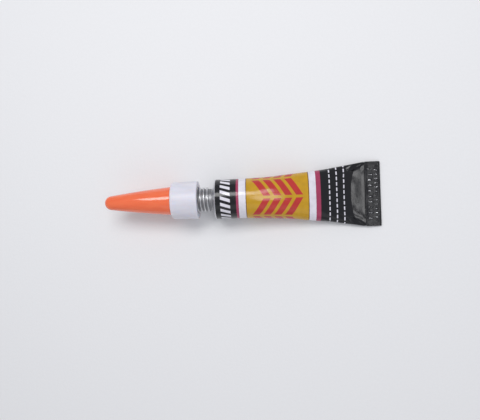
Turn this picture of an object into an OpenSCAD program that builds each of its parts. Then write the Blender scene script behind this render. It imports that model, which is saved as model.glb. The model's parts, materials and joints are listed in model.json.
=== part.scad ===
// Instant adhesive tube: a soft metal squeeze tube with a folded tail, a screw-on piercing
// nozzle and a tapered push-on cap. It lies on a table on its belly, with the tail touching
// down and the cap end raised.
// Every piece is drawn along the tube's own axis, with the shoulder rim at z = 0, the tail
// towards +z, the cap towards -z and the underside towards +x. It is then laid down.

/* [Tube] */
// Outside diameter of the round tube
tube_d = 14; // [12.5:0.1:16]
// Length from the shoulder rim to the tail
tube_len = 58; // [50:1:75]
// Thickness of the soft metal wall
tube_wall = 0.15; // [0.1:0.01:0.25]
// Length of wall that stays round behind the shoulder rim
round_len = 4; // [2:0.5:8]
// Rise of the conical shoulder
shoulder_h = 1; // [0.6:0.1:2]
// Thickness of the shoulder along the axis
shoulder_wall = 0.6; // [0.4:0.1:0.9]
// Radius of the rounded shoulder rim
rim_round = 0.4; // [0.2:0.05:0.7]

/* [Folded tail] */
// Length of the folded band
fold_len = 5.4; // [4.6:0.2:8]
// Thickness of the folded band
fold_t = 0.9; // [0.6:0.05:1.4]
// Width that pressing adds to the flattened tail
press_spread = 0.6; // [0:0.1:1]
// Length of the pressed flat before the band, in the middle of the upper side
facet_len = 5; // [2:0.5:8]
// Thickness of the sealant film between the walls
sealant_t = 0.12; // [0.08:0.01:0.2]
// Depth that the sealant film reaches into the band
sealant_len = 4; // [2:0.2:4.2]
// Bare margin at each side of the sealant film
sealant_margin = 0.6; // [0.3:0.1:2]

/* [Threaded neck] */
// Outside diameter of the neck thread
thread_d = 8.8; // [8:0.1:9.6]
// Pitch of the neck thread
thread_pitch = 1.25; // [1.15:0.05:1.5]
// Depth of the neck thread
thread_depth = 0.6; // [0.4:0.05:0.65]
// Length of the neck above the shoulder
neck_len = 8; // [7.5:0.1:11]
// Bore of the neck
neck_bore_d = 6; // [4.5:0.1:6.2]
// Thickness of the seal membrane that closes the neck
membrane_t = 0.1; // [0.05:0.01:0.2]

/* [Nozzle] */
// Bare thread left between shoulder and collar as delivered
thread_show = 5.1; // [3:0.1:6]
// Wall of the collar at its open end
collar_wall = 2.23; // [1.4:0.01:2.6]
// Radius that the collar loses from its open end to its top
collar_draft = 0.3; // [0:0.05:0.6]
// Radius of the rounded edge at the collar's top
collar_round = 0.8; // [0.3:0.1:1.2]
// Thickness of the web that closes the collar
web_t = 1.2; // [0.9:0.1:2]
// Diameter of the boss that the cap is pushed onto
boss_d = 7.4; // [6.8:0.1:8.4]
// Length of the boss
boss_len = 3.2; // [2:0.2:5]
// Length of the spout and boss together
spout_len = 20.8; // [14:0.1:24]
// Diameter of the spout where it leaves the boss
spout_base_d = 6; // [4:0.1:6.4]
// Diameter of the spout at its tip
spout_tip_d = 2.5; // [2:0.1:3.2]
// Diameter of the passage through the spout
passage_d = 1; // [0.9:0.05:1.3]

/* [Piercing spike] */
// Diameter of the spike at its root
spike_d = 3.2; // [2.4:0.1:3.8]
// Diameter of the spike's seating flange
flange_d = 5; // [4.2:0.1:6]
// Thickness of the seating flange
flange_t = 0.5; // [0.3:0.05:0.7]
// Gap between spike and membrane as delivered
spike_stand = 0.8; // [0.4:0.1:2]

/* [Cap] */
// Wall of the cap around the boss
cap_wall = 1.35; // [0.8:0.05:1.6]
// Radius of the cap's rounded tip
cap_tip_r = 2.55; // [2.3:0.05:3]
// Thickness of the cap's solid tip
cap_tip_t = 3.2; // [2.6:0.1:5]
// Lean of the cap's side where it runs into the tip, in degrees
cap_lean = 8.2; // [6:0.1:12]
// Gap between cap and spout
cap_gap = 0.35; // [0.2:0.05:0.5]

/* [Cap pin] */
// Diameter of the pin that keeps the passage clear
pin_d = 0.7; // [0.5:0.02:0.76]
// Length of the pin inside the passage
pin_reach = 3.5; // [1.5:0.1:6]
// Length of the pin inside the cap's tip
pin_seat = 1.8; // [1:0.1:2]
// Diameter of the pin's sealing disc
disc_d = 1.8; // [1.4:0.1:2.2]

/* [Adhesive] */
// Height of the liquid's surface above the table
fill_level = 5.7; // [4:0.1:9]

/* [Hidden] */
$fn = 96;

// Clearances and overruns
thread_gap = 0.12;
seat_gap = 0.1;
mouth_gap = 0.3;
running_gap = 0.05;
push_gap = 0.03;
fill_gap = 0.08;
fold_step = 0.03;
lead_in = 0.4;
overrun = 0.5;
bury = 0.12;

// How the tube flattens from its round stretch to the fold: the power of the way along
flare_power = 1.9;
under_power = 1;
upper_power = 2.4;
bunch_power = 1.5;
fill_end_share = 0.86;
thin_share = 0.2;

// Facets of the soft wall, the liquid and the threads
wall_sides = 48;
wall_steps = 18;
fill_sides = 32;
fill_steps = 14;
turn_steps = 32;
fade_steps = 8;
edge_steps = 8;
cap_steps = 14;

// Tube
tube_r = tube_d / 2;
fold_z = tube_len - fold_len;
flat_half = PI * tube_r / 2 + press_spread / 2;
flat_half_t = sealant_t / 2 + tube_wall;
wedge_len = fold_z - round_len;
sealant_w = 2 * (flat_half - sealant_margin);

// Neck
core_r = thread_d / 2 - thread_depth;
bore_r = neck_bore_d / 2;
neck_z = -shoulder_h;
mouth_z = neck_z - neck_len;

// Thread form: sloping flanks and a small flat on the crest
flank_angle = 30;
crest_share = 0.16;
crest_flat = thread_pitch * crest_share;
flank_run = thread_depth * tan(flank_angle);
ridge_base = crest_flat + 2 * flank_run;
groove_base = thread_pitch - ridge_base;
nut_crest = groove_base + 2 * thread_gap * tan(flank_angle) - 2 * thread_gap;
nut_base = nut_crest + 2 * flank_run;
ridge_z = mouth_z + lead_in + ridge_base / 2;

// Nozzle
cavity_r = thread_d / 2 + thread_gap;
collar_r = cavity_r + collar_wall;
collar_top_r = collar_r - collar_draft;
cavity_len = neck_len + mouth_gap;
collar_len = cavity_len + web_t;
open_z = neck_z - thread_show;
web_z = open_z - cavity_len;
top_z = open_z - collar_len;
boss_r = boss_d / 2;
spout_base_r = spout_base_d / 2;
spout_tip_r = spout_tip_d / 2;
passage_r = passage_d / 2;
spout_z = top_z - spout_len;

// Piercing spike
flange_r = flange_d / 2;
spike_r = spike_d / 2;
spike_len = mouth_z - web_z - spike_stand;
spike_edge = 0.12;

// Cap
skirt_r = boss_r + push_gap;
cap_r = skirt_r + cap_wall;
cap_base_z = top_z - running_gap;
cap_bore_len = spout_len + cap_gap;
cap_len = cap_bore_len + cap_tip_t;
tip_z = cap_base_z - cap_len;
disc_t = cap_gap - running_gap;
pin_r = pin_d / 2;

// Fold: nearly flush with the wall's underside, with its flap laid over on the upper side
tail_r = fold_t / 2;
tail_z = tube_len - tail_r;
fold_x = flat_half_t + fold_step - tail_r;

// Rest pose: the belly point behind the round stretch and the tail's rounded end both touch
// the table, and the origin is under the middle of the whole length
belly_x = tube_r - fold_x;
belly_len = tail_z - round_len;
tilt = acos(tail_r / norm([belly_x, belly_len])) - atan2(belly_len, belly_x);
lift = round_len * sin(tilt) + tube_r * cos(tilt);
tail_reach = tail_z * cos(tilt) - fold_x * sin(tilt) + tail_r;
nose_reach = (tip_z + cap_tip_r) * cos(tilt) - cap_tip_r;
mid_x = (tail_reach + nose_reach) / 2;

module lay_down() {
    translate([-mid_x, 0, lift]) rotate([0, 90 + tilt, 0]) children();
}

// Outline and skin helpers

// Points of an arc about c, from angle a0 to a1
function arc(c, r, a0, a1, steps) =
    [for (i = [0 : steps]) let (a = a0 + (a1 - a0) * i / steps) c + r * [cos(a), sin(a)]];

// Points of a curve from p0 to p2 that p1 pulls
function pull_curve(p0, p1, p2, steps) =
    [for (i = [0 : steps]) let (s = i / steps)
        (1 - s) * (1 - s) * p0 + 2 * s * (1 - s) * p1 + s * s * p2];

// Share of the way from round to flat at height z
function along(z) = max(0, (z - round_len) / wedge_len);

// The same share on the upper side, which lies flat from a curved crease on
function along_top(z, f) =
    min(1, max(0, (z - round_len) / (wedge_len - facet_len * pow(sin(f), 2))));

// Half thickness of the wall at share s on a side that flattens by a power
function half_t(s, power) = tube_r + (flat_half_t - tube_r) * pow(s, power);

// One cross-section of the soft wall at height z, drawn in by inset
function section(z, inset, sides) =
    let (s = along(z),
         half_w = tube_r + (flat_half - tube_r) * pow(s, flare_power) - inset,
         under = half_t(s, under_power) - inset)
    [for (i = [0 : sides - 1])
        let (f = 360 * i / sides,
             upper = half_t(along_top(z, f), upper_power) - inset)
        [(sin(f) > 0 ? under : upper) * sin(f), half_w * cos(f), z]];

// Triangles between two rings whose points start at a and b
function band(a, b, sides) =
    [for (i = [0 : sides - 1]) let (j = (i + 1) % sides)
        each [[a + i, b + j, b + i], [a + i, a + j, b + j]]];

// Solid skinned over a list of rings
module ring_solid(rings) {
    sides = len(rings[0]);
    last = (len(rings) - 1) * sides;
    polyhedron(
        points = [for (ring = rings) each ring],
        faces = concat(
            [for (k = [0 : len(rings) - 2]) each band(k * sides, (k + 1) * sides, sides)],
            [[for (i = [0 : sides - 1]) sides - 1 - i], [for (i = [0 : sides - 1]) last + i]]));
}

// Open-ended skin between outer and inner rings
module ring_shell(outer, inner) {
    sides = len(outer[0]);
    count = len(outer);
    first_in = count * sides;
    last_out = (count - 1) * sides;
    last_in = first_in + last_out;
    polyhedron(
        points = [for (ring = concat(outer, inner)) each ring],
        faces = concat(
            [for (k = [0 : count - 2]) each band(k * sides, (k + 1) * sides, sides)],
            [for (k = [0 : count - 2])
                each band(first_in + (k + 1) * sides, first_in + k * sides, sides)],
            band(first_in, 0, sides),
            band(last_out, last_in, sides)));
}

// One turning ridge of a thread: profile is a list of [radius, height] corners, listed the way
// that faces outward, and fade is the profile that the ridge runs out to at both ends
module ridge(profile, fade, z0, turns) {
    steps = floor(turns * turn_steps);
    corners = len(profile);
    points = [for (k = [0 : steps])
        let (s = k / turn_steps, a = 360 * s,
             full = min(1, min(k, steps - k) / fade_steps))
        each [for (c = [0 : corners - 1])
            let (p = fade[c] + (profile[c] - fade[c]) * full)
            [p[0] * cos(a), p[0] * sin(a), z0 + thread_pitch * s + p[1]]]];
    polyhedron(
        points = points,
        faces = concat(
            [for (k = [0 : steps - 1]) each band((k + 1) * corners, k * corners, corners)],
            [[for (c = [0 : corners - 1]) c],
             [for (c = [0 : corners - 1]) (steps + 1) * corners - 1 - c]]));
}

// Metal tube: neck, shoulder, soft wall and folded tail are one drawn piece

module head() {
    in_r = tube_r - tube_wall;
    rotate_extrude() polygon(concat(
        [[bore_r, mouth_z], [core_r, mouth_z], [core_r, neck_z]],
        arc([tube_r - rim_round, rim_round], rim_round, -90, 0, edge_steps),
        [[tube_r, round_len], [in_r, round_len], [in_r, shoulder_wall + rim_round],
         [in_r - rim_round, shoulder_wall], [bore_r, neck_z + shoulder_wall]]));
}

module neck_thread() {
    root_r = core_r - bury;
    fade_r = core_r - bury / 2;
    turns = (neck_len - ridge_base - 2 * lead_in) / thread_pitch;
    ridge([[root_r, ridge_base / 2], [thread_d / 2, crest_flat / 2],
           [thread_d / 2, -crest_flat / 2], [root_r, -ridge_base / 2]],
          [[root_r, ridge_base / 2], [fade_r, crest_flat / 2],
           [fade_r, -crest_flat / 2], [root_r, -ridge_base / 2]],
          ridge_z, turns);
}

module soft_wall() {
    // The first ring lies inside the round wall, a little thinner than it
    thin = tube_wall * thin_share;
    start = round_len - overrun;
    heights = [for (k = [0 : wall_steps])
        round_len + wedge_len * (1 - pow(1 - k / wall_steps, bunch_power))];
    outer = concat([section(start, thin / 2, wall_sides)],
        [for (z = heights) section(z, z == round_len ? thin / 2 : 0, wall_sides)],
        [section(fold_z, 0, wall_sides) + [for (i = [1 : wall_sides]) [0, 0, overrun / 2]]]);
    inner = concat([section(start, tube_wall - thin, wall_sides)],
        [for (z = heights) section(z, z == round_len ? tube_wall - thin : tube_wall, wall_sides)],
        [section(fold_z, tube_wall, wall_sides) + [for (i = [1 : wall_sides]) [0, 0, overrun / 2]]]);
    ring_shell(outer, inner);
}

module fold() {
    translate([fold_x - tail_r, -flat_half, fold_z])
        cube([fold_t, 2 * flat_half, tail_z - fold_z]);
    translate([fold_x, 0, tail_z]) rotate([90, 0, 0])
        cylinder(r = tail_r, h = 2 * flat_half, center = true);
}

module sealant_film() {
    translate([-sealant_t / 2, -sealant_w / 2, fold_z]) cube([sealant_t, sealant_w, sealant_len]);
}

module tube_body() {
    color("dimgray") lay_down() difference() {
        union() {
            head();
            neck_thread();
            soft_wall();
            fold();
        }
        sealant_film();
    }
}

module seal_membrane() {
    color("silver") lay_down() translate([0, 0, mouth_z]) cylinder(r = bore_r, h = membrane_t);
}

module end_sealant() {
    color("khaki") lay_down() sealant_film();
}

module adhesive() {
    inset = tube_wall + fill_gap;
    start = shoulder_wall + rim_round + fill_gap;
    finish = round_len + wedge_len * fill_end_share;
    rings = concat([section(start, inset, fill_sides)],
        [for (k = [0 : fill_steps])
            section(round_len + (finish - round_len) * k / fill_steps, inset, fill_sides)]);
    reach = tube_len + tube_d;
    color("lightyellow") intersection() {
        lay_down() ring_solid(rings);
        translate([-reach, -reach, 0]) cube([2 * reach, 2 * reach, fill_level]);
    }
}

// Nozzle: collar with an inside thread, boss for the cap and a tapered spout

module nozzle_profile() {
    edge_c = [collar_top_r - collar_round, top_z + collar_round];
    seat_r = flange_r + running_gap;
    seat_z = web_z - flange_t - running_gap;
    polygon(concat(
        [[cavity_r + lead_in, open_z], [collar_r, open_z]],
        arc(edge_c, collar_round, 0, -90, edge_steps),
        [[boss_r, top_z], [boss_r, top_z - boss_len], [spout_base_r, top_z - boss_len],
         [spout_tip_r, spout_z], [passage_r, spout_z], [passage_r, seat_z],
         [seat_r, seat_z], [seat_r, web_z], [cavity_r, web_z], [cavity_r, open_z - lead_in]]));
}

module nozzle_thread() {
    root_r = cavity_r + bury;
    fade_r = cavity_r + bury / 2;
    crest_r = core_r + thread_gap;
    // The collar's ridge runs half a pitch from the neck's, inside the length that it has
    low_z = web_z + lead_in + nut_base / 2;
    beside_z = ridge_z + thread_pitch / 2;
    first_z = beside_z + ceil((low_z - beside_z) / thread_pitch) * thread_pitch;
    turns = (open_z - lead_in - nut_base / 2 - first_z) / thread_pitch;
    ridge([[root_r, -nut_base / 2], [crest_r, -nut_crest / 2],
           [crest_r, nut_crest / 2], [root_r, nut_base / 2]],
          [[root_r, -nut_base / 2], [fade_r, -nut_crest / 2],
           [fade_r, nut_crest / 2], [root_r, nut_base / 2]],
          first_z, turns);
}

module nozzle() {
    color("whitesmoke") lay_down() {
        rotate_extrude() nozzle_profile();
        nozzle_thread();
    }
}

module piercing_spike() {
    color("gainsboro") lay_down() rotate_extrude() polygon([
        [passage_r, web_z - flange_t], [flange_r, web_z - flange_t], [flange_r, web_z],
        [spike_r, web_z], [passage_r + spike_edge, web_z + spike_len],
        [passage_r, web_z + spike_len]]);
}

// Cap: a tapered shell with a rounded solid tip, pushed over the boss

module cap() {
    tip_c = [0, tip_z + cap_tip_r];
    join = tip_c + cap_tip_r * [cos(cap_lean), -sin(cap_lean)];
    pull = join + (cap_len / 2) * [sin(cap_lean), cos(cap_lean)];
    bore_z = cap_base_z - cap_bore_len;
    neck_in = cap_base_z - boss_len - cap_gap;
    hole_r = pin_r + push_gap;
    color("orangered") lay_down() rotate_extrude() polygon(concat(
        [[skirt_r, cap_base_z]],
        pull_curve([cap_r, cap_base_z], pull, join, cap_steps),
        arc(tip_c, cap_tip_r, -cap_lean, -90, edge_steps),
        [[0, bore_z - pin_seat - running_gap], [hole_r, bore_z - pin_seat - running_gap],
         [hole_r, bore_z], [spout_tip_r + cap_gap, bore_z],
         [spout_base_r + cap_gap, neck_in], [skirt_r, neck_in]]));
}

module cap_pin() {
    bore_z = cap_base_z - cap_bore_len;
    color("lightgray") lay_down() {
        translate([0, 0, bore_z - pin_seat])
            cylinder(r = pin_r, h = pin_seat + cap_gap + pin_reach);
        translate([0, 0, bore_z + running_gap / 2]) cylinder(r = disc_d / 2, h = disc_t);
    }
}

tube_body();
seal_membrane();
end_sealant();
adhesive();
nozzle();
piercing_spike();
cap();
cap_pin();
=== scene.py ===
"""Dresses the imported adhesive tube: printed soft wall, folded tail, bare threaded neck, nozzle and cap.

Sizes are in millimetres in the tube's own axes until a mesh is made: x towards the underside, y across
and u along the axis, from the shoulder rim at 0 to the tail. The frame and Blender are in metres.
"""

import json
import logging
import math
from dataclasses import dataclass
from enum import Enum
from typing import Dict, List, Optional, Sequence, Tuple, Union

import bmesh
import bpy
import numpy as np
from mathutils import Matrix, Vector


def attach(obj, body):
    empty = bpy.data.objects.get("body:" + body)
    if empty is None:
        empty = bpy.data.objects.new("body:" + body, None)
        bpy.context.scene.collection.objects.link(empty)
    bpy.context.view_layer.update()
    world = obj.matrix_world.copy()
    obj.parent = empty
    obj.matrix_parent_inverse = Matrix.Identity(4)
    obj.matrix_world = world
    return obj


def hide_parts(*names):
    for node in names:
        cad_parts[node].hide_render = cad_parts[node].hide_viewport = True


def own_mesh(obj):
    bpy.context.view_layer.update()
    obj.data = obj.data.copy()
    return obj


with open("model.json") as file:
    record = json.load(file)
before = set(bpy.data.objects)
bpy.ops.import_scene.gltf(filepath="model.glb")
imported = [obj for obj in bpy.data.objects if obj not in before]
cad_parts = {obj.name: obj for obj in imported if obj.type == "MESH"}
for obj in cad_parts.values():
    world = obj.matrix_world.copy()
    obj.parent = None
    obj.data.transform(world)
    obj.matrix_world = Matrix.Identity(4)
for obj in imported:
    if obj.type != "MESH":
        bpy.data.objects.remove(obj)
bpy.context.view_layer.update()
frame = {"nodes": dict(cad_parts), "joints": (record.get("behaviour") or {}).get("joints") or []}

MM = 0.001
TURN = 2 * math.pi
ACROSS = np.array((0.0, 1.0, 0.0))
QUAD = ((0, 0), (0, 1), (1, 1), (1, 0))
WELD_M = 1e-7
SLIVER_M = 1e-8
ON_FACE = 0.02
log = logging.getLogger("adhesive_tube")

Triple = Tuple[float, float, float]
Colour = Triple
Span = Tuple[float, float]
Shares = Tuple[float, ...]
Value = Union["Wire", float]


class Body(Enum):
    """Bodies of the frame that pieces ride on."""

    TUBE = "tube"
    SPIKE = "spike"
    NOZZLE = "nozzle"
    PIN = "pin"
    CAP = "cap"


class Slot(Enum):
    """Material slots of the record."""

    LACQUER = "lacquered_aluminium"
    METAL = "bare_aluminium"
    NOZZLE = "natural_plastic"
    CAP = "orange_plastic"
    PIN = "pin_plastic"


class Field(Enum):
    """Values that a mesh carries for its finish."""

    PRINT = "print_place"
    AXIAL = "axial"
    # Rubbing of the print; on the bare neck, painted shade in the thread's grooves
    WEAR_AND_GROOVE_SHADE = "wear"


# Shader maths


class Wire:
    """A shader socket whose operators add Math nodes."""

    def __init__(self, tree: "Tree", socket: bpy.types.NodeSocket) -> None:
        """Wraps one output socket of a tree."""
        self.tree, self.socket = tree, socket

    def _math(self, operation: str, *values: Value) -> "Wire":
        """Adds a Math node with these values."""
        return self.tree.node("ShaderNodeMath", {"operation": operation}, dict(enumerate(values)))

    def __add__(self, other: Value) -> "Wire":
        """Sum."""
        return self._math("ADD", self, other)

    __radd__ = __add__

    def __sub__(self, other: Value) -> "Wire":
        """Difference."""
        return self._math("SUBTRACT", self, other)

    def __rsub__(self, other: Value) -> "Wire":
        """Difference from a number."""
        return self._math("SUBTRACT", other, self)

    def __mul__(self, other: Value) -> "Wire":
        """Product."""
        return self._math("MULTIPLY", self, other)

    __rmul__ = __mul__

    def __truediv__(self, other: Value) -> "Wire":
        """Quotient."""
        return self._math("DIVIDE", self, other)

    def __abs__(self) -> "Wire":
        """Size without sign."""
        return self._math("ABSOLUTE", self)

    def fract(self) -> "Wire":
        """Part after the whole number."""
        return self._math("FRACT", self)

    def floor(self) -> "Wire":
        """Whole number below."""
        return self._math("FLOOR", self)

    def past(self, start: float, end: float) -> "Wire":
        """Smooth step from 0 at start to 1 at end."""
        return self.tree.node("ShaderNodeMapRange", {"interpolation_type": "SMOOTHSTEP"},
                              {"Value": self, "From Min": start, "From Max": end})

    def below(self, limit: float, soft: float) -> "Wire":
        """1 below a limit and 0 above it, with a soft edge."""
        return 1 - self.past(limit - soft, limit + soft)

    def between(self, low: float, high: float, soft: float) -> "Wire":
        """1 inside a band and 0 outside, with soft edges."""
        return self.past(low - soft, low + soft) * self.below(high, soft)


def weighted(shares: Shares, *wires: Wire) -> Wire:
    """Sum of wires, each times its share."""
    return sum(wire * share for share, wire in zip(shares, wires))


@dataclass(frozen=True)
class Grain:
    """A noise pattern: how fine it is per millimetre, its octaves, and how much the finer ones count."""

    scale: float
    detail: float = 2.0
    rough: float = 0.5


class Tree:
    """The node tree of one material around its Principled shader."""

    def __init__(self, name: str, **constants: Union[float, Sequence[float]]) -> None:
        """Starts a material.

        Args:
            name: The material's name.
            constants: Values of the shader's own sockets, with _ for a space.
        """
        self.material = bpy.data.materials.new(name)
        self.material.use_nodes = True
        self.nodes = self.material.node_tree.nodes
        self.links = self.material.node_tree.links
        self.shader = next(n for n in self.nodes if n.type == "BSDF_PRINCIPLED")
        for socket, value in constants.items():
            self.shader.inputs[socket.replace("_", " ")].default_value = value

    def node(self, kind: str, settings: Optional[dict] = None, sockets: Optional[dict] = None,
             out: Union[int, str] = 0) -> Wire:
        """Adds a node.

        Args:
            kind: The node's type.
            settings: Its settings, which are set first.
            sockets: Values or wires of its inputs, by name or number.
            out: The output that is wanted.

        Returns:
            The wire from that output.
        """
        made = self.nodes.new(kind)
        for key, value in (settings or {}).items():
            setattr(made, key, value)
        for key, value in (sockets or {}).items():
            self._join(made.inputs[key], value)
        return Wire(self, made.outputs[out])

    def _join(self, socket: bpy.types.NodeSocket, value: object) -> None:
        """Links a wire to a socket, or sets the socket's value."""
        if isinstance(value, Wire):
            self.links.new(value.socket, socket)
        else:
            socket.default_value = (*value, 1) if socket.type == "RGBA" else value

    def feed(self, **wires: Wire) -> None:
        """Links wires to the shader's sockets, with _ for a space."""
        for socket, wire in wires.items():
            self._join(self.shader.inputs[socket.replace("_", " ")], wire)

    def mix(self, share: Value, first: object, second: object) -> Wire:
        """Colour that goes from first to second with share."""
        return self.node("ShaderNodeMix", {"data_type": "RGBA"}, {0: share, 6: first, 7: second}, 2)

    def carried(self, field: Field) -> Wire:
        """A value that the mesh carries."""
        return self.node("ShaderNodeAttribute", {"attribute_name": field.value}, out="Fac")

    def place(self, stretch: Triple = (1, 1, 1)) -> Wire:
        """The piece's own coordinates in millimetres, stretched."""
        at = self.node("ShaderNodeTexCoord", out="Object")
        scale = tuple(1 / MM * s for s in stretch)
        return self.node("ShaderNodeVectorMath", {"operation": "MULTIPLY"}, {0: at, 1: scale})

    def noise(self, at: Wire, grain: Grain) -> Wire:
        """Noise around 0.5 at a vector place."""
        return self.node("ShaderNodeTexNoise", {}, {"Vector": at, "Scale": grain.scale,
                                                    "Detail": grain.detail, "Roughness": grain.rough})

    def ring_noise(self, at: Wire, grain: Grain) -> Wire:
        """Noise that changes along one value only."""
        return self.node("ShaderNodeTexNoise", {"noise_dimensions": "1D"},
                         {"W": at, "Scale": grain.scale, "Detail": grain.detail, "Roughness": grain.rough})

    def bump(self, height: Wire, depth_mm: float) -> None:
        """Feeds the shader's Normal from a height between 0 and 1."""
        self.feed(Normal=self.node("ShaderNodeBump", {}, {"Height": height, "Distance": depth_mm * MM}))


# Finishes


@dataclass(frozen=True)
class PrintedLacquer:
    """Gloss print on soft aluminium: dark ends, a pale ground between red lines and a herringbone band.

    Spans, rows and pitches are along the axis or round the wall, and shares are of a row or pitch.
    """

    dark: Colour = (0.006, 0.006, 0.008)
    pale: Colour = (0.74, 0.72, 0.79)
    line: Colour = (0.36, 0.042, 0.105)
    band: Colour = (0.54, 0.30, 0.012)
    outline: Colour = (0.12, 0.045, 0.008)
    motif: Colour = (0.48, 0.034, 0.030)
    metal: Colour = (0.72, 0.72, 0.74)
    first_line: Span = (7.6, 8.45)
    last_line: Span = (35.2, 36.85)
    band_span: Span = (11.0, 32.7)
    outline_off: Span = (-0.17, 0.1)
    row: float = 7.33
    row_half_share: float = 0.435
    lean_share: float = 0.62
    side_switch: Span = (0.499, 0.501)
    bar_pitch: float = 3.75
    bar_share: Span = (0.17, 0.83)
    bars_each_way: int = 2
    bar_cut: float = 0.01
    hatch_span: Span = (2.1, 5.5)
    hatch_pitch: float = 2.2
    hatch_slope: float = 0.34
    hatch_share: Span = (0.2, 0.72)
    dash_span: Span = (39.5, 47.3)
    dash_row: float = 2.6
    dash_row_share: Span = (0.1, 0.26)
    dash_pitch: float = 1.9
    dash_share: Span = (0.18, 0.82)
    dash_soft: float = 0.02
    ink_soft: float = 0.06
    creep: Grain = Grain(1.6, 3.0)
    creep_mm: float = 0.14
    mottle: Grain = Grain(0.55, 4.0)
    mottle_from: Span = (0.35, 0.75)
    mottle_share: float = 0.12
    chips: Grain = Grain(3.4, 5.0, 0.65)
    chip_depth: float = 1.5
    worn_from: Span = (0.62, 0.78)
    scratches: Grain = Grain(2.1, 5.0, 0.7)
    scratch_stretch: Span = (2.4, 0.16)
    scratch_from: Span = (0.66, 0.72)
    scratch_share: float = 0.07
    tooth: Grain = Grain(5.5)
    gloss: float = 0.11
    haze: Shares = (0.06, 0.18, 0.16)
    coat: float = 0.08
    relief: Shares = (0.35, 0.9, 0.12, -0.35)
    relief_mm: float = 0.035

    def _herringbone(self, arc: Wire, u: Wire) -> Wire:
        """Rows of slanted bars that lean to and fro round the band."""
        cross = (abs(arc) / self.row).fract() - 0.5
        side = (abs(arc) / (2 * self.row)).fract().past(*self.side_switch)
        along = u - sum(self.band_span) / 2 + cross * (1 - 2 * side) * (self.lean_share * self.row)
        bars = (along / self.bar_pitch).fract().between(*self.bar_share, self.ink_soft / self.bar_pitch)
        reach = abs(along).below(self.bars_each_way * self.bar_pitch, self.bar_cut)
        return bars * reach * abs(cross).below(self.row_half_share, self.ink_soft / self.row)

    def _front_hatch(self, arc: Wire, u: Wire) -> Wire:
        """Pale slanted bars all round the dark band beside the shoulder."""
        lap = (arc + u * self.hatch_slope) / self.hatch_pitch
        bars = lap.fract().between(*self.hatch_share, self.ink_soft / self.hatch_pitch)
        return bars * u.between(*self.hatch_span, self.ink_soft)

    def _tail_dashes(self, arc: Wire, u: Wire) -> Wire:
        """Staggered rows of short pale dashes across the dark stretch before the tail."""
        row = (u - self.dash_span[0]) / self.dash_row
        step = (abs(arc) / self.dash_pitch + row.floor() / 2).fract()
        lines = row.fract().between(*self.dash_row_share, self.dash_soft)
        dashes = step.between(*self.dash_share, 2 * self.dash_soft)
        return lines * dashes * u.between(*self.dash_span, self.dash_soft)

    def _print(self, tree: Tree, arc: Wire, u: Wire, marks: Wire) -> Wire:
        """Colours of the print.

        Args:
            tree: The material's tree.
            arc: Place round the wall.
            u: Place along the axis.
            marks: 1 on the pale marks of the dark ends.

        Returns:
            The colour of clean print.
        """
        soft = self.ink_soft
        low, high = self.band_span
        edge = abs(u - (low + high) / 2) - (high - low) / 2
        ground = u.between(self.first_line[1], self.last_line[0], soft)
        lines = u.between(*self.first_line, soft) + u.between(*self.last_line, soft)
        colour = tree.mix(ground, self.dark, self.pale)
        colour = tree.mix(lines, colour, self.line)
        colour = tree.mix(edge.below(0, soft), colour, self.band)
        colour = tree.mix(self._herringbone(arc, u), colour, self.motif)
        colour = tree.mix(edge.between(*self.outline_off, soft), colour, self.outline)
        return tree.mix(marks, colour, self.pale)

    def material(self) -> bpy.types.Material:
        """Makes the material.

        Returns:
            The lacquer, with its print, fine texture and worn edges.
        """
        tree = Tree("printed_lacquer", IOR=1.45, Coat_Roughness=0.12, Coat_IOR=1.5)
        printed = tree.node("ShaderNodeUVMap", {"uv_map": Field.PRINT.value})
        arc = tree.node("ShaderNodeSeparateXYZ", {}, {0: printed})
        true_u = Wire(tree, arc.socket.node.outputs[1])
        at = tree.place()
        u = true_u + (tree.noise(at, self.creep) - 0.5) * self.creep_mm
        marks = self._front_hatch(arc, u) + self._tail_dashes(arc, u)
        mottle = tree.noise(at, self.mottle)
        # Rubbing has opened the print to the metal along folds and rims
        chips = tree.noise(at, self.chips)
        worn = (tree.carried(Field.WEAR_AND_GROOVE_SHADE) + (chips - 0.5) * self.chip_depth).past(*self.worn_from)
        round_by, along_by = self.scratch_stretch
        scratch_at = tree.node("ShaderNodeCombineXYZ", {}, {"X": arc * round_by, "Y": u * along_by})
        scratch = tree.noise(scratch_at, self.scratches).past(*self.scratch_from)
        colour = self._print(tree, arc, u, marks)
        colour = tree.mix(mottle.past(*self.mottle_from) * self.mottle_share, colour, self.dark)
        colour = tree.mix(scratch * self.scratch_share, colour, self.metal)
        tree.feed(Base_Color=tree.mix(worn, colour, self.metal), Metallic=worn,
                  Roughness=self.gloss + weighted(self.haze, mottle, scratch, worn),
                  Coat_Weight=(1 - worn) * self.coat)
        tree.bump(weighted(self.relief, tree.noise(at, self.tooth), mottle, marks, worn), self.relief_mm)
        return tree.material


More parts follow.
